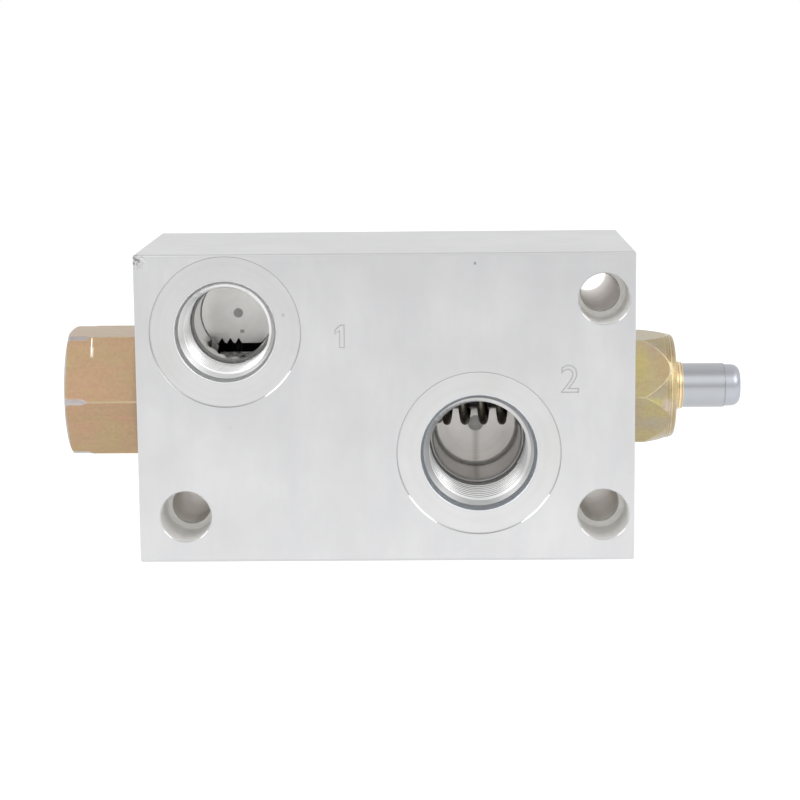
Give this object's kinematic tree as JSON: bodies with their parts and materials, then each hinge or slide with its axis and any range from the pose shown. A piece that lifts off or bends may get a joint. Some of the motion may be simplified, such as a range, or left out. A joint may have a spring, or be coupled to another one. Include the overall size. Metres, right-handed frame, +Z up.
{
  "type": "manual control valve",
  "caption": "Machined aluminium valve block with threaded ports in its front face, a hex flow regulator plug on the left and a spring-closed pull rod in a hex gland on the right.",
  "frame": {"origin": "centre of the block's underside, the face it stands on", "axes": "+X along the cartridge bore towards the pull rod, -Y out of the ported front face, +Z up"},
  "size_m": [0.1439, 0.0508, 0.0635],
  "materials": {
    "milled_aluminium": "machined, satin",
    "yellow_zinc_tan": "yellow zinc plate, tan",
    "yellow_zinc_olive": "yellow zinc plate, olive gold",
    "ground_steel": "ground, satin",
    "hardened_steel": "hardened and ground",
    "spring_steel": "oil tempered, dark",
    "nitrile": "matt black rubber",
    "backup_polymer": "plain polymer",
    "seal_polymer": "dark blue sealing polymer",
    "bearing_bronze": "turned bronze"
  },
  "bodies": {
    "block": {"valve_block": "milled_aluminium", "regulator_hex_plug": "yellow_zinc_tan", "plug_seal_ring": "nitrile", "regulator_sleeve": "hardened_steel", "sleeve_seal_ring": "nitrile", "sleeve_backup_ring": "backup_polymer", "regulator_spring": "spring_steel", "poppet_seat": "hardened_steel", "seat_seal_ring": "nitrile", "return_spring": "spring_steel", "spring_washer": "ground_steel", "plunger_gland": "yellow_zinc_olive", "gland_seal_ring": "nitrile", "rod_guide_bush": "bearing_bronze", "rod_lip_seal": "seal_polymer", "rod_backup_ring": "backup_polymer", "rod_wiper": "seal_polymer"},
    "plunger": {"plunger_rod": "ground_steel", "rod_tip": "ground_steel", "poppet": "hardened_steel", "poppet_pin": "hardened_steel"},
    "spool": {"regulator_spool": "ground_steel", "orifice_disc": "hardened_steel", "orifice_snap_ring": "spring_steel"}
  },
  "joints": [
    {"name": "plunger_pull", "type": "slide", "parent": "block", "child": "plunger", "axis": [1, 0, 0], "range_m": [0, 0.005], "stiffness_N_per_m": 7500, "springref_m": -0.006, "deforming": ["return_spring"]},
    {"name": "spool_slide", "type": "slide", "parent": "block", "child": "spool", "axis": [-1, 0, 0], "range_m": [0, 0.003], "stiffness_N_per_m": 1500, "springref_m": -0.002, "deforming": ["regulator_spring"]}
  ]
}
